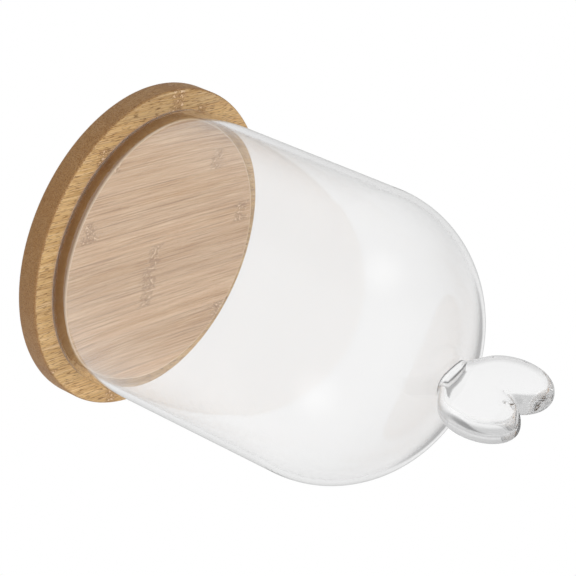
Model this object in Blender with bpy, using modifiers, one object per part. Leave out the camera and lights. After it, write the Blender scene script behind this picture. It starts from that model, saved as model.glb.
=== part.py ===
"""Glass cheese dome with a heart-shaped knob, standing on a round bamboo board.

The board is one blank of edge-glued bamboo staves, turned to a disc with a raised middle. The dome is a blown
glass shell whose fire-polished rim stands on the board's lower ring, round the raised middle. The knob is a solid
glass heart, fused to the crown of the dome. The dome lifts straight off along +Z.

Metres, +Z up. The origin is the centre of the board's underside. The heart lies in the XZ plane.
"""

import math

import bmesh
import bpy

# Board
BOARD_RADIUS = 0.0700
SEAT_HEIGHT = 0.0100
MIDDLE_RADIUS = 0.0578
MIDDLE_HEIGHT = 0.0160
BOARD_EDGE_ROUND = 0.0012
MIDDLE_EDGE_ROUND = 0.0010
STAVE_COUNT = 15
GRAIN_ANGLE = math.radians(-18.0)
BOARD_SEGMENTS = 96

# Glass shell
GLASS_RADIUS = 0.0615
WALL = 0.0024
SHOULDER_HEIGHT = 0.1106
CROWN_RISE = 0.0545
CROWN_WALL = 0.0032
GLASS_SEGMENTS = 72
CROWN_STEPS = 12
RIM_STEPS = 4

# Heart knob: two elliptical lobes and straight flanks that meet at a point inside the crown
LOBE_HALF_WIDTH = 0.0126
LOBE_HALF_HEIGHT = 0.0163
LOBE_OFFSET = 0.0110
LOBE_RISE = 0.0189
HEART_POINT_DROP = 0.0074
HEART_THICKNESS = 0.0105
HEART_EDGE_ROUND = 0.0040
LOBE_STEPS = 18
FOOT_RADIUS = 0.0112
FOOT_WAIST_RADIUS = 0.0078
FOOT_RISE = 0.0080
FOOT_DEPTH = 0.0060
FOOT_SEGMENTS = 40

# Clearance kept between pieces that touch or are bonded
GAP = 0.0003

MERGE_DISTANCE = 0.00001
APEX_HEIGHT = SHOULDER_HEIGHT + CROWN_RISE
QUARTER_TURN = math.pi / 2


def clear_scene():
    """Remove every object, so the file holds only this model."""
    for item in list(bpy.data.objects):
        bpy.data.objects.remove(item, do_unlink=True)


def make_collection(name):
    """Add a collection to the scene."""
    collection = bpy.data.collections.new(name)
    bpy.context.scene.collection.children.link(collection)
    return collection


def make_material(name, colour, roughness, metallic=0.0, transmission=0.0):
    """A Principled material with one colour, roughness, metallic value and transmission."""
    material = bpy.data.materials.new(name)
    material.use_nodes = True
    shader = material.node_tree.nodes["Principled BSDF"]
    shader.inputs["Base Color"].default_value = (*colour, 1.0)
    shader.inputs["Roughness"].default_value = roughness
    shader.inputs["Metallic"].default_value = metallic
    shader.inputs["Transmission Weight"].default_value = transmission
    material.diffuse_color = (*colour, 1.0 - 0.65 * transmission)
    return material


def arc(centre_x, centre_z, radius_x, radius_z, start, end, steps):
    """Points on an elliptical arc in the XZ plane, both ends included."""
    points = []
    for step in range(steps + 1):
        angle = start + (end - start) * step / steps
        points.append((centre_x + radius_x * math.cos(angle), centre_z + radius_z * math.sin(angle)))
    return points


def profile_mesh(name, profile):
    """An open chain of edges in the XZ plane, for a Screw modifier."""
    mesh = bpy.data.meshes.new(name)
    vertices = [(x, 0.0, z) for x, z in profile]
    edges = [(index, index + 1) for index in range(len(vertices) - 1)]
    mesh.from_pydata(vertices, edges, [])
    return mesh


def add_object(name, mesh, collection, material=None):
    """Put a mesh in the scene as a named object with its material."""
    item = bpy.data.objects.new(name, mesh)
    collection.objects.link(item)
    if material is not None and not mesh.materials:
        mesh.materials.append(material)
    return item


def turn(item, segments):
    """Turn an object's profile round Z."""
    screw = item.modifiers.new("Turned", "SCREW")
    screw.axis = "Z"
    screw.angle = 2 * math.pi
    screw.steps = segments
    screw.render_steps = segments
    screw.use_merge_vertices = True
    screw.merge_threshold = MERGE_DISTANCE
    screw.use_smooth_shade = True
    return item


def mark_cutter(item):
    """Keep a cutting shape out of the model."""
    item.hide_render = True
    item.display_type = "WIRE"
    return item


def combine(item, other, operation):
    """Add an exact Boolean with another object."""
    boolean = item.modifiers.new(operation.title(), "BOOLEAN")
    boolean.operation = operation
    boolean.solver = "EXACT"
    boolean.object = other


def board_profile():
    """The board's section, from the centre of its raised top down the outside to the centre of its underside."""
    middle_round = MIDDLE_EDGE_ROUND
    edge_round = BOARD_EDGE_ROUND
    profile = [(0.0, MIDDLE_HEIGHT)]
    profile += arc(MIDDLE_RADIUS - middle_round, MIDDLE_HEIGHT - middle_round,
                   middle_round, middle_round, QUARTER_TURN, 0.0, 3)
    profile.append((MIDDLE_RADIUS, SEAT_HEIGHT))
    profile += arc(BOARD_RADIUS - edge_round, SEAT_HEIGHT - edge_round,
                   edge_round, edge_round, QUARTER_TURN, 0.0, 3)
    profile += arc(BOARD_RADIUS - edge_round, edge_round,
                   edge_round, edge_round, 0.0, -QUARTER_TURN, 3)
    profile.append((0.0, 0.0))
    return profile


def build_board(collection, cutters, material):
    """Cut the turned blank into its edge-glued staves, which run along the grain."""
    pitch = 2 * BOARD_RADIUS / STAVE_COUNT
    blank = profile_mesh("board_section", board_profile())
    for number in range(STAVE_COUNT):
        across = (number + 0.5) * pitch - BOARD_RADIUS
        bpy.ops.mesh.primitive_cube_add(
            size=1.0,
            location=(-across * math.sin(GRAIN_ANGLE), across * math.cos(GRAIN_ANGLE), MIDDLE_HEIGHT / 2),
            rotation=(0.0, 0.0, GRAIN_ANGLE),
            scale=(3 * BOARD_RADIUS, pitch - GAP, 2 * MIDDLE_HEIGHT))
        cutter = mark_cutter(bpy.context.active_object)
        cutter.name = f"stave_cutter_{number + 1:02d}"
        for owner in list(cutter.users_collection):
            owner.objects.unlink(cutter)
        cutters.objects.link(cutter)

        stave = add_object(f"bamboo_stave_{number + 1:02d}", blank, collection, material)
        turn(stave, BOARD_SEGMENTS)
        combine(stave, cutter, "INTERSECT")


def crown_profile(radius, rise, apex_height, steps):
    """A crown's section from its apex to its shoulder."""
    crown = arc(0.0, apex_height - rise, radius, rise, QUARTER_TURN, 0.0, steps)
    crown[0] = (0.0, apex_height)
    return crown


def glass_profile():
    """The shell's section: down the outside, round the fire-polished rim and up the inside."""
    rim_radius = WALL / 2
    rim_height = SEAT_HEIGHT + GAP + rim_radius
    outside = crown_profile(GLASS_RADIUS, CROWN_RISE, APEX_HEIGHT, CROWN_STEPS)
    rim = arc(GLASS_RADIUS - rim_radius, rim_height, rim_radius, rim_radius, 0.0, -math.pi, RIM_STEPS)
    inside = crown_profile(GLASS_RADIUS - WALL, CROWN_RISE - CROWN_WALL, APEX_HEIGHT - CROWN_WALL, CROWN_STEPS)
    return outside + rim + inside[::-1]


def build_dome(collection, material):
    """The blown glass shell."""
    dome = add_object("glass_dome", profile_mesh("glass_section", glass_profile()), collection, material)
    return turn(dome, GLASS_SEGMENTS)


def heart_outline():
    """Points round the heart, from its point up the +X side to the notch and down the other side.

    Scaling the height by the lobe's proportions makes the lobe a circle, and the flank its tangent from the point.
    """
    squash = LOBE_HALF_WIDTH / LOBE_HALF_HEIGHT
    drop = (LOBE_RISE + HEART_POINT_DROP) * squash
    distance = math.hypot(LOBE_OFFSET, drop)
    flank_angle = math.atan2(drop, LOBE_OFFSET) - math.asin(LOBE_HALF_WIDTH / distance)
    tangent_angle = flank_angle - QUARTER_TURN
    notch_angle = math.pi - math.acos(LOBE_OFFSET / LOBE_HALF_WIDTH)
    lobe = arc(LOBE_OFFSET, LOBE_RISE, LOBE_HALF_WIDTH, LOBE_HALF_HEIGHT, tangent_angle, notch_angle, LOBE_STEPS)
    lobe[-1] = (0.0, lobe[-1][1])
    left = [(-x, z) for x, z in lobe[-2::-1]]
    return [(0.0, -HEART_POINT_DROP)] + lobe + left


def heart_mesh():
    """The heart as a thick plate with rounded edges, standing in the XZ plane above the crown."""
    curve = bpy.data.curves.new("heart_outline", "CURVE")
    curve.dimensions = "2D"
    curve.fill_mode = "BOTH"
    curve.extrude = HEART_THICKNESS / 2 - HEART_EDGE_ROUND
    curve.bevel_depth = HEART_EDGE_ROUND
    curve.bevel_resolution = 2
    curve.offset = -HEART_EDGE_ROUND
    outline = heart_outline()
    spline = curve.splines.new("POLY")
    spline.points.add(len(outline) - 1)
    for point, (x, z) in zip(spline.points, outline):
        point.co = (x, z, 0.0, 1.0)
    spline.use_cyclic_u = True

    plate = bpy.data.objects.new("heart_curve", curve)
    bpy.context.scene.collection.objects.link(plate)
    plate.location = (0.0, 0.0, APEX_HEIGHT)
    plate.rotation_euler = (QUARTER_TURN, 0.0, 0.0)
    bpy.context.view_layer.update()
    evaluated = plate.evaluated_get(bpy.context.evaluated_depsgraph_get())
    mesh = bpy.data.meshes.new_from_object(evaluated)
    mesh.transform(plate.matrix_world)
    mesh.name = "heart_plate"
    bpy.data.objects.remove(plate, do_unlink=True)

    welded = bmesh.new()
    welded.from_mesh(mesh)
    bmesh.ops.remove_doubles(welded, verts=welded.verts, dist=MERGE_DISTANCE)
    bmesh.ops.recalc_face_normals(welded, faces=welded.faces)
    welded.to_mesh(mesh)
    welded.free()
    return mesh


def foot_profile():
    """The flared foot under the heart, from its top on the axis down into the crown."""
    top = APEX_HEIGHT + FOOT_RISE
    profile = [(0.0, top), (FOOT_WAIST_RADIUS * 0.7, top)]
    flare = FOOT_RADIUS - FOOT_WAIST_RADIUS
    profile += arc(FOOT_RADIUS, APEX_HEIGHT + FOOT_RISE * 0.75, flare, FOOT_RISE * 0.75, math.pi, 1.5 * math.pi, 5)
    profile += [(FOOT_RADIUS, APEX_HEIGHT - FOOT_DEPTH), (0.0, APEX_HEIGHT - FOOT_DEPTH)]
    return profile


def clearance_profile():
    """The crown's outside, grown by the gap: what the knob's underside is cut to."""
    crown = crown_profile(GLASS_RADIUS + GAP, CROWN_RISE + GAP, APEX_HEIGHT + GAP, 2 * CROWN_STEPS)
    return crown + [(0.0, SHOULDER_HEIGHT)]


def build_knob(collection, cutters, material):
    """The heart and its foot as one solid, cut underneath to sit over the crown."""
    foot = add_object("knob_foot_shape", profile_mesh("foot_section", foot_profile()), cutters)
    mark_cutter(turn(foot, FOOT_SEGMENTS))
    crown = add_object("crown_clearance", profile_mesh("clearance_section", clearance_profile()), cutters)
    mark_cutter(turn(crown, GLASS_SEGMENTS))

    knob = add_object("heart_knob", heart_mesh(), collection, material)
    combine(knob, foot, "UNION")
    combine(knob, crown, "DIFFERENCE")
    return knob


def build():
    """Build the whole object."""
    clear_scene()
    collection = make_collection("cheese_dome")
    cutters = make_collection("cutters")
    bamboo = make_material("bamboo", (0.50, 0.30, 0.14), 0.45)
    clear_glass = make_material("clear_glass", (0.95, 0.97, 0.97), 0.02, transmission=1.0)
    knob_glass = make_material("knob_glass", (0.96, 0.98, 0.98), 0.02, transmission=1.0)
    build_board(collection, cutters, bamboo)
    build_dome(collection, clear_glass)
    build_knob(collection, cutters, knob_glass)


build()
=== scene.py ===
"""A glass cheese dome with a heart-shaped knob, on a round board of bamboo staves, in a pale studio.

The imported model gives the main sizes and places. The board's staves, the glass shell and the knob are
remade here with finer surfaces, and each one stands for its own nodes. Metres, +Z up.
"""

import math

import bpy
from mathutils import Matrix, Vector


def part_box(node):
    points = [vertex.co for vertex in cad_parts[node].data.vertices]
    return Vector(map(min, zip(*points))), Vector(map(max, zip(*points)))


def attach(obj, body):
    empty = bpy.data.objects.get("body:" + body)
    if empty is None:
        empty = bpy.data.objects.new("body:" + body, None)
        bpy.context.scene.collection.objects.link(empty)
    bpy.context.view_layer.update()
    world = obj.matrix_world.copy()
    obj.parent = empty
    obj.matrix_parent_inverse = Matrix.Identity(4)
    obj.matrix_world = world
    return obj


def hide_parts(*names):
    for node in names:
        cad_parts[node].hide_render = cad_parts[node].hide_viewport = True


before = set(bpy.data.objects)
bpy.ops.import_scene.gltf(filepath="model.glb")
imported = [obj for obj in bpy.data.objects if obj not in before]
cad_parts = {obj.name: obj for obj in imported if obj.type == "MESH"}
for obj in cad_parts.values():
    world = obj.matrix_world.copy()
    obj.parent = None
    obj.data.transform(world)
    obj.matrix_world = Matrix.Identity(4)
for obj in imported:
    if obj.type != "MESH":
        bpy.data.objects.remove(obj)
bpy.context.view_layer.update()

# Board
STAVE_COUNT = 15
BOARD_RADIUS = 0.0700
STAVE_PITCH = 2 * BOARD_RADIUS / STAVE_COUNT
SEAT_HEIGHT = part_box("bamboo_stave_01")[1].z
MIDDLE_RADIUS = 0.0578
MIDDLE_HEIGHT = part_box("bamboo_stave_08")[1].z
GRAIN_ANGLE = math.radians(-18.0)
BOARD_EDGE_ROUND = 0.0012
MIDDLE_EDGE_ROUND = 0.0005
BOARD_EDGE_STEPS = 5
BOARD_SEGMENTS = 256

# A place beyond the board's edge, for a stave whose node doesn't show
NO_NODE = 0.2000

# Tone from 0, dark, to 1, pale, and the place of the node along the grain, for each stave
STAVES = (
    (0.12, -0.0040), (0.50, -0.0200), (0.60, 0.0380), (0.55, -0.0280), (0.60, NO_NODE),
    (0.50, 0.0480), (0.58, -0.0500), (0.46, 0.0054), (0.40, 0.0078), (0.52, 0.0071),
    (0.62, NO_NODE), (0.48, -0.0420), (0.55, 0.0560), (0.85, NO_NODE), (0.50, 0.0150),
)

# Bamboo colours
HONEY_PALE = (0.700, 0.460, 0.205, 1.0)
HONEY_DEEP = (0.560, 0.335, 0.130, 1.0)
BLOND_PALE = (0.645, 0.424, 0.255, 1.0)
BLOND_DEEP = (0.530, 0.312, 0.155, 1.0)
STREAK_BROWN = (0.360, 0.190, 0.078, 1.0)
FIBRE_CREAM = (0.790, 0.590, 0.380, 1.0)
HAIR_BROWN = (0.240, 0.115, 0.045, 1.0)
PORE_BROWN = (0.165, 0.072, 0.022, 1.0)
NODE_TAN = (0.400, 0.225, 0.105, 1.0)
NODE_CREAM = (0.820, 0.620, 0.420, 1.0)
NODE_BROWN = (0.200, 0.092, 0.035, 1.0)
SEAM_BROWN = (0.220, 0.110, 0.045, 1.0)
END_BROWN = (0.270, 0.128, 0.044, 1.0)
# Painted shade on the turned sides
TURNED_SIDE_SHADE = (0.290, 0.128, 0.036, 1.0)
SPECK_BROWN = (0.150, 0.070, 0.028, 1.0)
# Painted shade for the corner at the foot of the raised middle, and a painted highlight for its top edge
CORNER_SHADE = (0.215, 0.085, 0.018, 1.0)
EDGE_HIGHLIGHT_CREAM = (0.860, 0.700, 0.520, 1.0)

# How often each bamboo pattern repeats in a metre: along the grain, then twice across it
BAND_GRAIN = (4.0, 330.0, 330.0)
STREAK_GRAIN = (9.0, 1500.0, 1500.0)
FIBRE_GRAIN = (45.0, 2700.0, 2700.0)
HAIR_GRAIN = (22.0, 2100.0, 2100.0)
PORE_GRAIN = (230.0, 2300.0, 2300.0)
WOBBLE_GRAIN = (160.0, 420.0, 420.0)
MOTTLE_GRAIN = (850.0, 950.0, 950.0)
SPECK_SCALE = 2600.0

# Bamboo details
TONE_SHIFT = 37.0
NODE_WOBBLE = 0.012
NODE_CORE = 0.0022
NODE_REACH = 0.0050
FIBRE_BUMP_STRENGTH = 0.35
FIBRE_BUMP_DEPTH = 0.0002

# Glass shell
GLASS_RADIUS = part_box("glass_dome")[1].x
RIM_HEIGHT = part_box("glass_dome")[0].z
APEX_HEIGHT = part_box("glass_dome")[1].z
CROWN_RISE = 0.0545
SHOULDER_HEIGHT = APEX_HEIGHT - CROWN_RISE
WALL = 0.0024
CROWN_WALL = 0.0032
RIM_ROUND = WALL * 0.46
RIM_STEPS = 6
GLASS_SEGMENTS = 192
CROWN_RINGS = 96
WALL_STEPS = 24

# Glass finish: how clear each glass is, and the repeats in a metre and the depth of its ripple
REFRACTION = 1.5
BLOWN_CLEARNESS = 0.925
BLOWN_RIPPLE = (25.0, 0.00002)
SOLID_CLEARNESS = 0.880
SOLID_RIPPLE = (60.0, 0.00001)
# Painted shade: the grey that glass turns to edge-on and round the heart's side, and how far it goes edge-on
EDGE_SHADE_GREY = (0.30, 0.30, 0.30, 1.0)
EDGE_SHADE_SHARE = 0.6
GROUND_HEIGHT = 0.0009
GROUND_FULL_HEIGHT = 0.0005
GROUND_ROUGHNESS = 0.35
NO_RIM = -1.0

# Heart knob
LOBE_HALF_WIDTH = 0.0119
LOBE_HALF_HEIGHT = 0.0174
LOBE_OFFSET = 0.0112
LOBE_RISE = 0.0199
HEART_POINT_DROP = 0.0066
HEART_HALF_THICKNESS = 0.0054
HEART_EDGE_ROUND = 0.0050
HEART_PILLOW = 0.0010
HEART_SHIFT = -0.0016
HEART_MIDDLE_RISE = 0.0150
HEART_SEGMENTS = 384
HEART_RINGS = 128
SOFTEN_PASSES = 16
NOTCH_BLUR = math.radians(6.0)
BLUR_STEPS = 3
BASE_ANGLE = math.radians(-80.0)
BASE_SPREAD = math.radians(60.0)
BASE_ROUNDING = 0.75
FLAT_SHARE = 0.10
ROUND_SHARE = 0.60
FOOT_FLARE = 0.0003
FOOT_RISE = 0.0014
BOND_GAP = 0.00008
# Painted shade on the heart: a dark line this wide in the crease at its foot, its grey, and how grey its side
# turns
FOOT_LINE = 0.0007
FOOT_CREASE_SHADE = (0.05, 0.05, 0.05, 1.0)
SIDE_SHADE = 0.55

# Camera
CAMERA_AZIMUTH = math.radians(45.0)
CAMERA_ELEVATION = math.radians(36.23)
CAMERA_DISTANCE = 0.9559
CAMERA_AIM_HEIGHT = 0.0790
CAMERA_AIM_SIDE = -0.0077
CAMERA_ROLL = math.radians(113.87)
CAMERA_LENS = 141.0

# Studio
FLOOR_SIZE = 12.0
FLOOR_DROP = 0.0002
FLOOR_GLOW_NEAR = 0.80
FLOOR_GLOW_FAR = 2.20
FLOOR_FAR_LEVEL = 0.42
FLOOR_LIGHTING = 0.35
ROOM_STRENGTH = 1.20
ROOM_LEVELS = ((0.12, 0.38), (0.40, 0.75), (0.65, 1.0))
ROOM_LOWEST = 0.38
REFLECTION_LIFT = 0.95
GRAZING_LEVEL = 0.55
FLANK_SHADE = 0.5
WHITE = (1.0, 1.0, 1.0, 1.0)
BLACK = (0.0, 0.0, 0.0, 1.0)

# Softboxes: name, azimuth and elevation in degrees
SOFTBOXES = (("softbox_left", -21.0, 35.0), ("softbox_right", 104.0, 31.0))
SOFTBOX_DISTANCE = 1.2
SOFTBOX_SIZE = 1.1
SOFTBOX_POWER = 3.0
SOFTBOX_AIM_HEIGHT = 0.1

LIGHT_BOUNCES = 24
QUARTER_TURN = math.pi / 2


# ---- helpers ----

def pick_nothing():
    """Deselect every object."""
    if bpy.context.object is not None and bpy.context.object.mode != "OBJECT":
        bpy.ops.object.mode_set(mode="OBJECT")
    bpy.ops.object.select_all(action="DESELECT")


def pick(item):
    """Make one object the only selected one, and active."""
    pick_nothing()
    item.select_set(True)
    bpy.context.view_layer.objects.active = item


def select_part(item, kind, test):
    """In edit mode, select only the vertices, edges or faces that pass the test."""
    bpy.ops.mesh.select_mode(type=kind)
    bpy.ops.mesh.select_all(action="DESELECT")
    bpy.ops.object.mode_set(mode="OBJECT")
    mesh = item.data
    parts = {"VERT": mesh.vertices, "EDGE": mesh.edges, "FACE": mesh.polygons}[kind]
    for part in parts:
        part.select = test(mesh, part)
    bpy.ops.object.mode_set(mode="EDIT")


def edge_ends(mesh, edge):
    """The two end points of an edge."""
    return [mesh.vertices[index].co for index in edge.vertices]


def on_ring(radius, height):
    """A test for the edges of one level ring round the Z axis."""
    def test(mesh, edge):
        return all(abs(end.z - height) < 1e-5 and abs(math.hypot(end.x, end.y) - radius) < 1e-4
                   for end in edge_ends(mesh, edge))
    return test


def apply_all(item):
    """Apply the modifiers of an object, in order."""
    pick(item)
    for modifier in list(item.modifiers):
        bpy.ops.object.modifier_apply(modifier=modifier.name)


def settle(item):
    """Apply an object's place, turn and scale to its mesh."""
    pick(item)
    bpy.ops.object.transform_apply(location=True, rotation=True, scale=True)


def smooth(item, angle=math.radians(35.0)):
    """Shade smooth, with edges sharper than the angle kept."""
    pick(item)
    bpy.ops.object.shade_smooth_by_angle(angle=angle)


def name_piece(item, name, material, body, slot, *nodes):
    """Name a finished piece, give it its material, hang it on its body's empty and hide the imported parts it
    takes the place of.
    """
    item.name = name
    item.data.name = name
    item.data.materials.clear()
    item.data.materials.append(material)
    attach(item, body)
    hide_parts(*nodes)
    return item


# ---- node helpers ----

def new_material(name):
    """A new material with a Principled shader; returns the material, its tree and the shader."""
    material = bpy.data.materials.new(name)
    material.use_nodes = True
    tree = material.node_tree
    return material, tree, tree.nodes["Principled BSDF"]


def plug(tree, socket, value):
    """Link an output to a socket, or set the socket's own value."""
    if isinstance(value, bpy.types.NodeSocket):
        tree.links.new(value, socket)
    else:
        socket.default_value = value


def maths(tree, operation, a, b=0.0, c=0.0):
    """The output of a Math node."""
    node = tree.nodes.new("ShaderNodeMath")
    node.operation = operation
    for socket, value in zip(node.inputs, (a, b, c)):
        plug(tree, socket, value)
    return node.outputs[0]


def remap(tree, value, low, high, to_low=0.0, to_high=1.0):
    """A smooth step of a value between two limits."""
    node = tree.nodes.new("ShaderNodeMapRange")
    node.interpolation_type = "SMOOTHSTEP"
    for socket, given in zip(node.inputs, (value, low, high, to_low, to_high)):
        plug(tree, socket, given)
    return node.outputs[0]


def blend_colour(tree, share, a, b, mode="MIX"):
    """The colour output of a Mix node."""
    node = tree.nodes.new("ShaderNodeMix")
    node.data_type = "RGBA"
    node.blend_type = mode
    plug(tree, node.inputs["Factor"], share)
    plug(tree, node.inputs["A"], a)
    plug(tree, node.inputs["B"], b)
    return node.outputs["Result"]


def noise(tree, vector, scale, detail=2.0, roughness=0.5):
    """The value of a Noise texture."""
    node = tree.nodes.new("ShaderNodeTexNoise")
    plug(tree, node.inputs["Vector"], vector)
    node.inputs["Scale"].default_value = scale
    node.inputs["Detail"].default_value = detail
    node.inputs["Roughness"].default_value = roughness
    return node.outputs["Fac"]


def stretched(tree, vector, scale, shift=None):
    """A vector scaled along each axis, and shifted along its first one."""
    node = tree.nodes.new("ShaderNodeVectorMath")
    node.operation = "MULTIPLY"
    plug(tree, node.inputs[0], vector)
    node.inputs[1].default_value = scale
    if shift is None:
        return node.outputs[0]
    joined = tree.nodes.new("ShaderNodeCombineXYZ")
    plug(tree, joined.inputs[0], shift)
    added = tree.nodes.new("ShaderNodeVectorMath")
    added.operation = "ADD"
    plug(tree, added.inputs[0], node.outputs[0])
    plug(tree, added.inputs[1], joined.outputs[0])
    return added.outputs[0]


def parts_of(tree, vector):
    """The three parts of a vector."""
    node = tree.nodes.new("ShaderNodeSeparateXYZ")
    plug(tree, node.inputs[0], vector)
    return node.outputs[0], node.outputs[1], node.outputs[2]


def reach_along(tree, vector, direction):
    """How far a vector reaches along a direction."""
    node = tree.nodes.new("ShaderNodeVectorMath")
    node.operation = "DOT_PRODUCT"
    plug(tree, node.inputs[0], vector)
    node.inputs[1].default_value = direction
    return node.outputs["Value"]


def length(tree, vector):
    """The length of a vector."""
    node = tree.nodes.new("ShaderNodeVectorMath")
    node.operation = "LENGTH"
    plug(tree, node.inputs[0], vector)
    return node.outputs["Value"]


def sum_of_squares(tree, a, b):
    """a x a + b x b."""
    return maths(tree, "ADD", maths(tree, "POWER", a, 2.0), maths(tree, "POWER", b, 2.0))


def attribute(tree, name):
    """The value of one of the mesh's own attributes."""
    node = tree.nodes.new("ShaderNodeAttribute")
    node.attribute_name = name
    return node.outputs["Fac"]


# ---- materials ----

def bamboo_places(tree):
    """The values that the bamboo's patterns share, by name."""
    coordinates = tree.nodes.new("ShaderNodeTexCoord")
    turned = tree.nodes.new("ShaderNodeMapping")
    turned.inputs["Rotation"].default_value = (0.0, 0.0, -GRAIN_ANGLE)
    plug(tree, turned.inputs["Vector"], coordinates.outputs["Object"])
    along, across, height = parts_of(tree, turned.outputs["Vector"])
    from_axis = maths(tree, "SQRT", sum_of_squares(tree, along, across))
    tone = attribute(tree, "tone")
    upward = remap(tree, parts_of(tree, coordinates.outputs["Normal"])[2], 0.55, 0.95)
    inside_glass = remap(tree, from_axis, GLASS_RADIUS, GLASS_RADIUS - 0.0006)
    return {
        "object": coordinates.outputs["Object"],
        "normal": coordinates.outputs["Normal"],
        "grain": turned.outputs["Vector"],
        "along": along,
        "across": across,
        "height": height,
        "from_axis": from_axis,
        "tone": tone,
        "shift": maths(tree, "MULTIPLY", tone, TONE_SHIFT),
        "on_side": maths(tree, "SUBTRACT", 1.0, upward),
        "on_middle": maths(tree, "MULTIPLY", upward, inside_glass),
    }


def grain_noise(tree, place, grain, detail, roughness=0.5):
    """A noise drawn out along the grain, different on each stave."""
    return noise(tree, stretched(tree, place["grain"], grain, place["shift"]), 1.0, detail, roughness)


def fibre_colour(tree, place, streaks, dash):
    """Broad bands, brown streaks, cream fibres, dark hairs and pore dashes, in each stave's own tone."""
    bands = remap(tree, grain_noise(tree, place, BAND_GRAIN, 2.0), 0.30, 0.70)
    honey = blend_colour(tree, bands, HONEY_PALE, HONEY_DEEP)
    blond = blend_colour(tree, bands, BLOND_PALE, BLOND_DEEP)
    colour = blend_colour(tree, place["on_middle"], honey, blond)
    colour = blend_colour(tree, remap(tree, streaks, 0.46, 0.70, 0.0, 0.46), colour, STREAK_BROWN)
    fibres = grain_noise(tree, place, FIBRE_GRAIN, 2.0)
    colour = blend_colour(tree, remap(tree, fibres, 0.48, 0.66, 0.0, 0.55), colour, FIBRE_CREAM)
    hairs = grain_noise(tree, place, HAIR_GRAIN, 1.0)
    colour = blend_colour(tree, remap(tree, hairs, 0.60, 0.68, 0.0, 0.50), colour, HAIR_BROWN)
    colour = blend_colour(tree, dash, colour, PORE_BROWN)
    lift = maths(tree, "MULTIPLY_ADD", place["tone"], 0.36, 0.79)
    return blend_colour(tree, 1.0, colour, lift, "MULTIPLY")


def pore_dashes(tree, place):
    """Short dark pores, strong on the ring and faint on the raised middle."""
    pores = remap(tree, grain_noise(tree, place, PORE_GRAIN, 1.0), 0.56, 0.66)
    depth = maths(tree, "MULTIPLY_ADD", place["on_middle"], -0.62, 0.75)
    return maths(tree, "MULTIPLY", pores, depth)


def add_nodes(tree, place, colour):
    """The culm's nodes: a mottled tan band across each stave; returns the colour and the dark cells."""
    wobble = noise(tree, stretched(tree, place["grain"], WOBBLE_GRAIN), 1.0, 2.0)
    from_node = maths(tree, "SUBTRACT", place["along"], attribute(tree, "node_place"))
    wander = maths(tree, "MULTIPLY_ADD", wobble, NODE_WOBBLE, -NODE_WOBBLE / 2)
    from_node = maths(tree, "ADD", from_node, wander)
    band = remap(tree, maths(tree, "ABSOLUTE", from_node), NODE_REACH, NODE_CORE)
    colour = blend_colour(tree, maths(tree, "MULTIPLY", band, 0.30), colour, NODE_TAN)
    mottle = noise(tree, stretched(tree, place["grain"], MOTTLE_GRAIN), 1.0, 1.0)
    cells = remap(tree, maths(tree, "ABSOLUTE", maths(tree, "SUBTRACT", mottle, 0.5)), 0.070, 0.030)
    pale = maths(tree, "MULTIPLY", band, remap(tree, mottle, 0.56, 0.66, 0.0, 0.70))
    dark = maths(tree, "MULTIPLY", band, maths(tree, "MULTIPLY", cells, 0.50))
    colour = blend_colour(tree, pale, colour, NODE_CREAM)
    return blend_colour(tree, dark, colour, NODE_BROWN), dark


def add_seams(tree, place, colour):
    """The thin dark glue lines between staves."""
    across = maths(tree, "DIVIDE", place["across"], STAVE_PITCH)
    in_stave = maths(tree, "FRACT", maths(tree, "ADD", across, 0.5 + STAVE_COUNT))
    to_seam = maths(tree, "MINIMUM", in_stave, maths(tree, "SUBTRACT", 1.0, in_stave))
    return blend_colour(tree, remap(tree, to_seam, 0.022, 0.006, 0.0, 0.30), colour, SEAM_BROWN)


def add_end_grain_and_side_shade(tree, place, colour):
    """The speckled turned sides, browner where the fibres are cut across, and all darkened with painted
    shade.
    """
    grain_direction = (math.cos(GRAIN_ANGLE), math.sin(GRAIN_ANGLE), 0.0)
    facing = maths(tree, "ABSOLUTE", reach_along(tree, place["normal"], grain_direction))
    colour = blend_colour(tree, remap(tree, facing, 0.10, 0.90, 0.0, 0.35), colour, END_BROWN)
    # Painted shade: every face that doesn't look up is darkened towards a deep brown
    colour = blend_colour(tree, maths(tree, "MULTIPLY", place["on_side"], 0.55), colour, TURNED_SIDE_SHADE)
    specks = remap(tree, noise(tree, place["object"], SPECK_SCALE, 1.0), 0.50, 0.68, 0.0, 0.50)
    return blend_colour(tree, maths(tree, "MULTIPLY", place["on_side"], specks), colour, SPECK_BROWN)


def add_step_shade_and_highlight(tree, place, colour):
    """Painted shade in the corner at the foot of the raised middle, and a painted highlight on the rounded
    edge at its top.
    """
    # Painted shade in the corner at the foot of the step
    low = remap(tree, place["height"], MIDDLE_HEIGHT - 0.0006, SEAT_HEIGHT + 0.0010)
    near = remap(tree, place["from_axis"], MIDDLE_RADIUS + 0.0022, MIDDLE_RADIUS + 0.0002)
    corner = maths(tree, "MULTIPLY", maths(tree, "MULTIPLY", low, near), 0.70)
    corner = maths(tree, "MULTIPLY", corner, place["on_side"])
    colour = blend_colour(tree, corner, colour, CORNER_SHADE)
    # Painted highlight where the step's rounded top edge catches the light
    outer = remap(tree, place["from_axis"], MIDDLE_RADIUS - 0.0008, MIDDLE_RADIUS - 0.0004, 0.0, 0.55)
    upper = remap(tree, place["height"], MIDDLE_HEIGHT - 0.0010, MIDDLE_HEIGHT - 0.0004)
    return blend_colour(tree, maths(tree, "MULTIPLY", outer, upper), colour, EDGE_HIGHLIGHT_CREAM)


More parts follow.
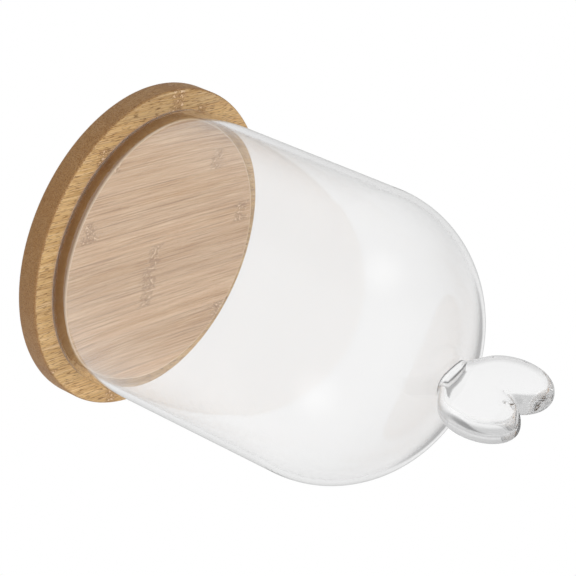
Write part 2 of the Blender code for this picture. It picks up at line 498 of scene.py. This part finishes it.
def bamboo_material():
    """Oiled bamboo: streaks along each stave, pore dashes, nodes, glue lines and end grain, with painted
    shade on the turned sides and in the step's corner, and a painted highlight on the step's top edge.
    """
    material, tree, shader = new_material("oiled_bamboo")
    place = bamboo_places(tree)
    streaks = grain_noise(tree, place, STREAK_GRAIN, 2.0, 0.6)
    dash = pore_dashes(tree, place)
    colour = fibre_colour(tree, place, streaks, dash)
    colour, node_dark = add_nodes(tree, place, colour)
    colour = add_seams(tree, place, colour)
    colour = add_end_grain_and_side_shade(tree, place, colour)
    colour = add_step_shade_and_highlight(tree, place, colour)
    plug(tree, shader.inputs["Base Color"], colour)
    shader.inputs["Specular IOR Level"].default_value = 0.25

    rough = maths(tree, "MULTIPLY_ADD", streaks, 0.22, 0.38)
    plug(tree, shader.inputs["Roughness"], maths(tree, "ADD", rough, maths(tree, "MULTIPLY", dash, 0.15)))
    height = maths(tree, "SUBTRACT", maths(tree, "MULTIPLY", streaks, 0.5), dash)
    height = maths(tree, "SUBTRACT", height, maths(tree, "MULTIPLY", node_dark, 0.8))
    bump = tree.nodes.new("ShaderNodeBump")
    bump.inputs["Strength"].default_value = FIBRE_BUMP_STRENGTH
    bump.inputs["Distance"].default_value = FIBRE_BUMP_DEPTH
    plug(tree, bump.inputs["Height"], height)
    plug(tree, shader.inputs["Normal"], bump.outputs["Normal"])
    return material


def glass_ripple_group():
    """The slow waviness of hand-made glass, as a normal."""
    group = bpy.data.node_groups.new("glass_ripple", "ShaderNodeTree")
    group.interface.new_socket("Scale", in_out="INPUT", socket_type="NodeSocketFloat")
    group.interface.new_socket("Depth", in_out="INPUT", socket_type="NodeSocketFloat")
    group.interface.new_socket("Normal", in_out="OUTPUT", socket_type="NodeSocketVector")
    inputs = group.nodes.new("NodeGroupInput")
    outputs = group.nodes.new("NodeGroupOutput")
    coordinates = group.nodes.new("ShaderNodeTexCoord")
    wave = group.nodes.new("ShaderNodeTexNoise")
    wave.inputs["Detail"].default_value = 1.0
    group.links.new(coordinates.outputs["Object"], wave.inputs["Vector"])
    group.links.new(inputs.outputs["Scale"], wave.inputs["Scale"])
    bump = group.nodes.new("ShaderNodeBump")
    bump.inputs["Strength"].default_value = 1.0
    group.links.new(inputs.outputs["Depth"], bump.inputs["Distance"])
    group.links.new(wave.outputs["Fac"], bump.inputs["Height"])
    group.links.new(bump.outputs["Normal"], outputs.inputs["Normal"])
    return group


def glass_material(name, ripple, clearness, wave, rim_height=NO_RIM):
    """Clear glass, never quite flat, with painted shade that greys it edge-on, and a ground rim; light passes
    evenly to the wood.
    """
    material, tree, shader = new_material(name)
    clear = (clearness, clearness, clearness, 1.0)
    weight = tree.nodes.new("ShaderNodeLayerWeight")
    # Painted shade: the glass greys where it is seen edge-on
    edge_shade = remap(tree, weight.outputs["Facing"], 0.80, 1.00, 0.0, EDGE_SHADE_SHARE)
    plug(tree, shader.inputs["Base Color"], blend_colour(tree, edge_shade, clear, EDGE_SHADE_GREY))
    shader.inputs["IOR"].default_value = REFRACTION
    shader.inputs["Transmission Weight"].default_value = 1.0
    height = parts_of(tree, tree.nodes.new("ShaderNodeTexCoord").outputs["Object"])[2]
    ground_top = rim_height + GROUND_HEIGHT
    ground_full = rim_height + GROUND_FULL_HEIGHT
    ground = remap(tree, height, ground_top, ground_full, 0.0, GROUND_ROUGHNESS)
    plug(tree, shader.inputs["Roughness"], ground)
    waves = tree.nodes.new("ShaderNodeGroup")
    waves.node_tree = ripple
    waves.inputs["Scale"].default_value, waves.inputs["Depth"].default_value = wave
    plug(tree, shader.inputs["Normal"], waves.outputs["Normal"])

    path = tree.nodes.new("ShaderNodeLightPath")
    lighting = maths(tree, "MAXIMUM", path.outputs["Is Shadow Ray"], path.outputs["Is Diffuse Ray"])
    through = tree.nodes.new("ShaderNodeBsdfTransparent")
    through.inputs["Color"].default_value = clear
    mix = tree.nodes.new("ShaderNodeMixShader")
    tree.links.new(lighting, mix.inputs[0])
    tree.links.new(shader.outputs[0], mix.inputs[1])
    tree.links.new(through.outputs[0], mix.inputs[2])
    tree.links.new(mix.outputs[0], tree.nodes["Material Output"].inputs["Surface"])
    return material


def shade_knob_glass(material):
    """Painted shade on the knob glass: greyer round the heart's side, and a thin dark line in the crease
    where it runs into the crown.
    """
    tree = material.node_tree
    shader = tree.nodes["Principled BSDF"]
    coordinates = tree.nodes.new("ShaderNodeTexCoord")
    x, y, z = parts_of(tree, coordinates.outputs["Object"])
    _, normal_y, normal_z = parts_of(tree, coordinates.outputs["Normal"])
    right = maths(tree, "DIVIDE", x, GLASS_RADIUS)
    back = maths(tree, "DIVIDE", y, GLASS_RADIUS)
    outward = sum_of_squares(tree, right, back)
    up = maths(tree, "DIVIDE", maths(tree, "SUBTRACT", z, SHOULDER_HEIGHT), CROWN_RISE)
    above_crown = maths(tree, "SQRT", maths(tree, "MULTIPLY_ADD", up, up, outward))
    # Painted shade: a thin dark line in the crease where the heart's underside meets the crown
    near_crown = remap(tree, above_crown, 1 + FOOT_LINE / CROWN_RISE, 1 + 0.5 * FOOT_LINE / CROWN_RISE)
    line = maths(tree, "MULTIPLY", near_crown, remap(tree, normal_z, -0.92, -0.84))
    # Painted shade: the heart's side greys where it turns away from the faces
    side = remap(tree, maths(tree, "ABSOLUTE", normal_y), 0.92, 0.55, 0.0, SIDE_SHADE)
    colour = shader.inputs["Base Color"].links[0].from_socket
    colour = blend_colour(tree, side, colour, EDGE_SHADE_GREY)
    colour = blend_colour(tree, line, colour, FOOT_CREASE_SHADE)
    plug(tree, shader.inputs["Base Color"], colour)


# ---- board ----

def turned_blank():
    """The whole board as turned: a disc, its raised middle and its rounded edges."""
    pick_nothing()
    bpy.ops.mesh.primitive_cylinder_add(
        vertices=BOARD_SEGMENTS, radius=BOARD_RADIUS, depth=SEAT_HEIGHT, location=(0.0, 0.0, SEAT_HEIGHT / 2))
    blank = bpy.context.object
    settle(blank)
    bpy.ops.object.mode_set(mode="EDIT")
    select_part(blank, "FACE", lambda mesh, face: face.normal.z > 0.9)
    bpy.ops.mesh.inset(thickness=BOARD_RADIUS - MIDDLE_RADIUS)
    step = MIDDLE_HEIGHT - SEAT_HEIGHT
    bpy.ops.mesh.extrude_region_move(TRANSFORM_OT_translate={"value": (0.0, 0.0, step)})
    for radius, height, width in ((BOARD_RADIUS, 0.0, BOARD_EDGE_ROUND),
                                  (BOARD_RADIUS, SEAT_HEIGHT, BOARD_EDGE_ROUND),
                                  (MIDDLE_RADIUS, MIDDLE_HEIGHT, MIDDLE_EDGE_ROUND)):
        select_part(blank, "EDGE", on_ring(radius, height))
        bpy.ops.mesh.bevel(offset=width, segments=BOARD_EDGE_STEPS, profile=0.5)
    bpy.ops.object.mode_set(mode="OBJECT")
    return blank


def cut_stave(blank, number, tone, node_place, material):
    """One stave, cut from the turned blank by the two planes of its glue lines."""
    across = Vector((-math.sin(GRAIN_ANGLE), math.cos(GRAIN_ANGLE), 0.0))
    stave = blank.copy()
    stave.data = blank.data.copy()
    bpy.context.scene.collection.objects.link(stave)
    pick(stave)
    bpy.ops.object.mode_set(mode="EDIT")
    for side in (0, 1):
        if number + side in (0, STAVE_COUNT):
            continue
        bpy.ops.mesh.select_all(action="SELECT")
        bpy.ops.mesh.bisect(
            plane_co=across * ((number + side) * STAVE_PITCH - BOARD_RADIUS),
            plane_no=across,
            use_fill=True,
            clear_inner=(side == 0),
            clear_outer=(side == 1))
    bpy.ops.object.mode_set(mode="OBJECT")
    for name, value in (("tone", tone), ("node_place", node_place)):
        values = stave.data.attributes.new(name, "FLOAT", "POINT")
        values.data.foreach_set("value", [value] * len(stave.data.vertices))
    smooth(stave)
    count = f"{number + 1:02d}"
    name_piece(stave, f"turned_stave_{count}", material, "board", "bamboo", f"bamboo_stave_{count}")


def make_board(material):
    """All the staves of the board."""
    blank = turned_blank()
    for number, (tone, node_place) in enumerate(STAVES):
        cut_stave(blank, number, tone, node_place, material)
    bpy.data.objects.remove(blank, do_unlink=True)


# ---- glass ----

def upper_half(radius, rise):
    """The upper half of a sphere, stretched to a crown's rise, with its open edge at the shoulder."""
    pick_nothing()
    bpy.ops.mesh.primitive_uv_sphere_add(segments=GLASS_SEGMENTS, ring_count=CROWN_RINGS, radius=radius)
    crown = bpy.context.object
    bpy.ops.object.mode_set(mode="EDIT")
    select_part(crown, "VERT", lambda mesh, vertex: vertex.co.z < -1e-5)
    bpy.ops.mesh.delete(type="VERT")
    bpy.ops.mesh.select_all(action="SELECT")
    bpy.ops.transform.resize(value=(1.0, 1.0, rise / radius), center_override=(0.0, 0.0, 0.0))
    bpy.ops.transform.translate(value=(0.0, 0.0, SHOULDER_HEIGHT))
    return crown


def make_shell(material):
    """The blown shell: a crown drawn down to a straight wall, with its thickness and a fire-polished rim."""
    shell = upper_half(GLASS_RADIUS, CROWN_RISE)
    drop = (SHOULDER_HEIGHT - RIM_HEIGHT) / WALL_STEPS
    select_part(shell, "EDGE", on_ring(GLASS_RADIUS, SHOULDER_HEIGHT))
    for _ in range(WALL_STEPS):
        bpy.ops.mesh.extrude_edges_move(TRANSFORM_OT_translate={"value": (0.0, 0.0, -drop)})
    bpy.ops.object.mode_set(mode="OBJECT")

    group = shell.vertex_groups.new(name="wall")
    for vertex in shell.data.vertices:
        up = max(0.0, (vertex.co.z - SHOULDER_HEIGHT) / CROWN_RISE)
        group.add([vertex.index], (WALL + (CROWN_WALL - WALL) * up ** 3) / CROWN_WALL, "REPLACE")
    thick = shell.modifiers.new("wall", "SOLIDIFY")
    thick.thickness = CROWN_WALL
    thick.offset = -1.0
    thick.vertex_group = "wall"
    thick.use_even_offset = True
    thick.use_quality_normals = True
    rim = shell.modifiers.new("rim", "BEVEL")
    rim.limit_method = "ANGLE"
    rim.angle_limit = math.radians(60.0)
    rim.width = RIM_ROUND
    rim.segments = RIM_STEPS
    apply_all(shell)
    smooth(shell, math.radians(60.0))
    return name_piece(shell, "blown_shell", material, "dome", "clear_glass", "glass_dome")


def heart_reach(angle):
    """The distance from the heart's middle to its outline at an angle from +X, for the +X half."""
    squash = LOBE_HALF_WIDTH / LOBE_HALF_HEIGHT
    drop = (LOBE_RISE + HEART_POINT_DROP) * squash
    distance = math.hypot(LOBE_OFFSET, drop)
    flank = math.atan2(drop, LOBE_OFFSET) - math.asin(LOBE_HALF_WIDTH / distance)
    tangent = flank - QUARTER_TURN
    touch_x = LOBE_OFFSET + LOBE_HALF_WIDTH * math.cos(tangent)
    touch_z = LOBE_RISE + LOBE_HALF_HEIGHT * math.sin(tangent)
    ray_x, ray_z = math.cos(angle), math.sin(angle)
    if angle < math.atan2(touch_z - HEART_MIDDLE_RISE, touch_x):
        # The straight flank, from the point at the foot to where it touches the lobe
        start_z = -HEART_POINT_DROP - HEART_MIDDLE_RISE
        slope_x, slope_z = touch_x, touch_z + HEART_POINT_DROP
        return start_z * slope_x / (ray_z * slope_x - ray_x * slope_z)
    # The lobe's ellipse, whose far crossing counts
    centre_x, centre_z = LOBE_OFFSET, LOBE_RISE - HEART_MIDDLE_RISE
    a = (ray_x / LOBE_HALF_WIDTH) ** 2 + (ray_z / LOBE_HALF_HEIGHT) ** 2
    b = ray_x * centre_x / LOBE_HALF_WIDTH ** 2 + ray_z * centre_z / LOBE_HALF_HEIGHT ** 2
    c = (centre_x / LOBE_HALF_WIDTH) ** 2 + (centre_z / LOBE_HALF_HEIGHT) ** 2 - 1
    return (b + math.sqrt(max(b * b - a * c, 0.0))) / a


def soft_reach(angle, blur):
    """The heart's outline with its notch and its point rounded off."""
    total = 0.0
    for step in range(-BLUR_STEPS, BLUR_STEPS + 1):
        near = angle + blur * step / BLUR_STEPS
        if near > QUARTER_TURN:
            near = math.pi - near
        elif near < -QUARTER_TURN:
            near = -math.pi - near
        total += heart_reach(near)
    return total / (2 * BLUR_STEPS + 1)


def edge_rounding(angle):
    """How much of the edge rounding stays: all of it on the lobes and less at the base."""
    share = max(0.0, min(1.0, (angle - BASE_ANGLE) / BASE_SPREAD))
    return BASE_ROUNDING + (1 - BASE_ROUNDING) * share * share * (3 - 2 * share)


def heart_profile(share):
    """The rounding's inset, the share of the way in over the face, and the depth from the heart's middle.

    Share 0 is the middle of the heart's side and 1 is the middle of its face.
    """
    flat = HEART_HALF_THICKNESS - HEART_EDGE_ROUND
    if share < FLAT_SHARE:
        return 0.0, 0.0, flat * share / FLAT_SHARE
    if share < ROUND_SHARE:
        turn = QUARTER_TURN * (share - FLAT_SHARE) / (ROUND_SHARE - FLAT_SHARE)
        return HEART_EDGE_ROUND * (1 - math.cos(turn)), 0.0, flat + HEART_EDGE_ROUND * math.sin(turn)
    inward = (share - ROUND_SHARE) / (1 - ROUND_SHARE)
    return HEART_EDGE_ROUND, inward, HEART_HALF_THICKNESS + HEART_PILLOW * (1 - (1 - inward) ** 2)


def make_heart():
    """The heart's body: a ball pressed into a thick heart with a rounded side."""
    pick_nothing()
    bpy.ops.mesh.primitive_uv_sphere_add(
        segments=HEART_SEGMENTS, ring_count=HEART_RINGS, radius=1.0, rotation=(QUARTER_TURN, 0.0, 0.0))
    heart = bpy.context.object
    settle(heart)
    for vertex in heart.data.vertices:
        x, y, z = vertex.co
        angle = math.atan2(z, abs(x))
        share = abs(math.asin(max(-1.0, min(1.0, y)))) / QUARTER_TURN
        inset, inward, depth = heart_profile(share)
        inset *= edge_rounding(angle)
        reach = (soft_reach(angle, NOTCH_BLUR * (1 + 3 * inward)) - inset) * (1 - inward)
        rise = HEART_MIDDLE_RISE + reach * math.sin(angle)
        flare = FOOT_FLARE * max(0.0, 1 - rise / FOOT_RISE) ** 2
        wide = reach * math.cos(angle)
        wide += flare * min(1.0, wide / FOOT_FLARE)
        deep = depth + flare * depth / HEART_HALF_THICKNESS
        vertex.co = (math.copysign(wide, x), math.copysign(deep, y) + HEART_SHIFT, APEX_HEIGHT + rise)
    soften = heart.modifiers.new("soften", "SMOOTH")
    soften.factor = 0.5
    soften.iterations = SOFTEN_PASSES
    apply_all(heart)
    return heart


def crown_core():
    """A solid the shape of the crown, a hair larger: what the knob's underside is cut to."""
    core = upper_half(GLASS_RADIUS + BOND_GAP, CROWN_RISE + BOND_GAP)
    select_part(core, "EDGE", on_ring(GLASS_RADIUS + BOND_GAP, SHOULDER_HEIGHT))
    bpy.ops.mesh.edge_face_add()
    bpy.ops.object.mode_set(mode="OBJECT")
    return core


def cut_away(item, other):
    """Cut one object out of another with an exact Boolean, and remove the cutter."""
    boolean = item.modifiers.new("cut", "BOOLEAN")
    boolean.operation = "DIFFERENCE"
    boolean.object = other
    apply_all(item)
    bpy.data.objects.remove(other, do_unlink=True)


def make_knob(material):
    """The heart, with its base shaped to sit on the crown."""
    heart = make_heart()
    cut_away(heart, crown_core())
    smooth(heart, math.radians(50.0))
    return name_piece(heart, "heart_knob_glass", material, "dome", "knob_glass", "heart_knob")


# ---- studio ----

def level_direction(azimuth):
    """The level direction at an azimuth, which is 0 at -Y and grows towards +X."""
    return (math.sin(azimuth), -math.cos(azimuth), 0.0)


def studio_level(tree, dim, lighting, away):
    """The brightness of the floor or the room for each kind of ray.

    What is straight behind the object, far off, is dim and draws the glass's edges. Everything else is white.
    Reflections see the camera's side brighter, what lies beyond the object darker, and one flank darker.
    The lighting is what reaches matt surfaces. The vector points away from the room, back along the ray.
    """
    path = tree.nodes.new("ShaderNodeLightPath")
    behind = reach_along(tree, away, level_direction(CAMERA_AZIMUTH))
    flank = reach_along(tree, away, level_direction(CAMERA_AZIMUTH + QUARTER_TURN))
    straight = remap(tree, behind, 0.92, 0.995)
    reflected = remap(tree, behind, 0.80, -0.20, GRAZING_LEVEL, 1.0 + REFLECTION_LIFT)
    shade = remap(tree, flank, 0.30, 0.70, 0.0, FLANK_SHADE)
    not_through = maths(tree, "SUBTRACT", 1.0, path.outputs["Is Transmission Ray"])
    mirrored = maths(tree, "MULTIPLY", path.outputs["Is Glossy Ray"], not_through)
    change = maths(tree, "SUBTRACT", maths(tree, "SUBTRACT", reflected, shade), 1.0)
    level = maths(tree, "MULTIPLY_ADD", change, mirrored, 1.0)
    level = maths(tree, "MULTIPLY_ADD", maths(tree, "SUBTRACT", dim, level), straight, level)
    matt_change = maths(tree, "SUBTRACT", lighting, level)
    return maths(tree, "MULTIPLY_ADD", matt_change, path.outputs["Is Diffuse Ray"], level)


def make_floor():
    """A plain white table, lit from inside, that dims far away and throws little light back up."""
    pick_nothing()
    bpy.ops.mesh.primitive_plane_add(size=FLOOR_SIZE, location=(0.0, 0.0, -FLOOR_DROP))
    floor = bpy.context.object
    floor.name = "floor"
    material, tree, shader = new_material("white_floor")
    from_middle = length(tree, tree.nodes.new("ShaderNodeTexCoord").outputs["Object"])
    glow = remap(tree, from_middle, FLOOR_GLOW_NEAR, FLOOR_GLOW_FAR, 1.0, FLOOR_FAR_LEVEL)
    incoming = tree.nodes.new("ShaderNodeNewGeometry").outputs["Incoming"]
    shader.inputs["Base Color"].default_value = BLACK
    shader.inputs["Roughness"].default_value = 1.0
    shader.inputs["Specular IOR Level"].default_value = 0.0
    shader.inputs["Emission Color"].default_value = WHITE
    plug(tree, shader.inputs["Emission Strength"], studio_level(tree, glow, FLOOR_LIGHTING, incoming))
    floor.data.materials.append(material)


def make_world():
    """A studio room: dim near the horizon and bright overhead."""
    world = bpy.data.worlds.new("studio")
    bpy.context.scene.world = world
    world.use_nodes = True
    tree = world.node_tree
    background = tree.nodes["Background"]
    background.inputs["Color"].default_value = WHITE
    direction = tree.nodes.new("ShaderNodeTexCoord").outputs["Generated"]
    ramp = tree.nodes.new("ShaderNodeValToRGB")
    tree.links.new(parts_of(tree, direction)[2], ramp.inputs[0])
    stops = ramp.color_ramp.elements
    stops[0].position = 0.0
    stops[0].color = (ROOM_LOWEST, ROOM_LOWEST, ROOM_LOWEST, 1.0)
    stops[1].position = 1.0
    stops[1].color = WHITE
    for position, level in ROOM_LEVELS:
        stops.new(position).color = (level, level, level, 1.0)
    room = maths(tree, "MULTIPLY", ramp.outputs[0], ROOM_STRENGTH)
    away = stretched(tree, direction, (-1.0, -1.0, -1.0))
    tree.links.new(studio_level(tree, room, room, away), background.inputs["Strength"])


def toward(azimuth, elevation, distance):
    """A step of a length towards an azimuth, which is 0 at -Y and grows towards +X, and an elevation."""
    return Vector((math.sin(azimuth) * math.cos(elevation), -math.cos(azimuth) * math.cos(elevation),
                   math.sin(elevation))) * distance


def make_softbox(name, azimuth, elevation):
    """A square soft light that faces the dome and fades towards its edges."""
    light = bpy.data.lights.new(name, "AREA")
    light.shape = "SQUARE"
    light.size = SOFTBOX_SIZE
    light.energy = SOFTBOX_POWER
    light.use_nodes = True
    tree = light.node_tree
    centred = tree.nodes.new("ShaderNodeVectorMath")
    centred.operation = "SUBTRACT"
    tree.links.new(tree.nodes.new("ShaderNodeNewGeometry").outputs["Parametric"], centred.inputs[0])
    centred.inputs[1].default_value = (0.5, 0.5, 0.0)
    glow = remap(tree, length(tree, centred.outputs[0]), 0.5, 0.0)
    plug(tree, tree.nodes["Emission"].inputs["Strength"], glow)
    item = bpy.data.objects.new(name, light)
    bpy.context.scene.collection.objects.link(item)
    place = toward(math.radians(azimuth), math.radians(elevation), SOFTBOX_DISTANCE)
    item.location = Vector((0.0, 0.0, SOFTBOX_AIM_HEIGHT)) + place
    item.rotation_euler = place.to_track_quat("Z", "Y").to_euler()


def make_camera():
    """A long lens, looking down on the dome and rolled onto its side."""
    data = bpy.data.cameras.new("camera")
    data.lens = CAMERA_LENS
    data.clip_end = 20.0
    camera = bpy.data.objects.new("camera", data)
    bpy.context.scene.collection.objects.link(camera)
    place = toward(CAMERA_AZIMUTH, CAMERA_ELEVATION, CAMERA_DISTANCE)
    right = Vector((math.cos(CAMERA_AZIMUTH), math.sin(CAMERA_AZIMUTH), 0.0))
    aim = Vector((0.0, 0.0, CAMERA_AIM_HEIGHT)) + right * CAMERA_AIM_SIDE
    turn = (aim - place).to_track_quat("-Z", "Y").to_matrix()
    turn = turn @ Matrix.Rotation(CAMERA_ROLL, 3, "Z")
    camera.matrix_world = Matrix.Translation(place) @ turn.to_4x4()
    bpy.context.scene.camera = camera


make_camera()
make_world()
make_floor()
for softbox in SOFTBOXES:
    make_softbox(*softbox)
make_board(bamboo_material())
ripple = glass_ripple_group()
make_shell(glass_material("blown_glass", ripple, BLOWN_CLEARNESS, BLOWN_RIPPLE, RIM_HEIGHT))
knob_glass = glass_material("solid_glass", ripple, SOLID_CLEARNESS, SOLID_RIPPLE)
shade_knob_glass(knob_glass)
make_knob(knob_glass)

scene = bpy.context.scene
scene.view_settings.view_transform = "Standard"
scene.cycles.max_bounces = LIGHT_BOUNCES
scene.cycles.transmission_bounces = LIGHT_BOUNCES
scene.cycles.glossy_bounces = LIGHT_BOUNCES
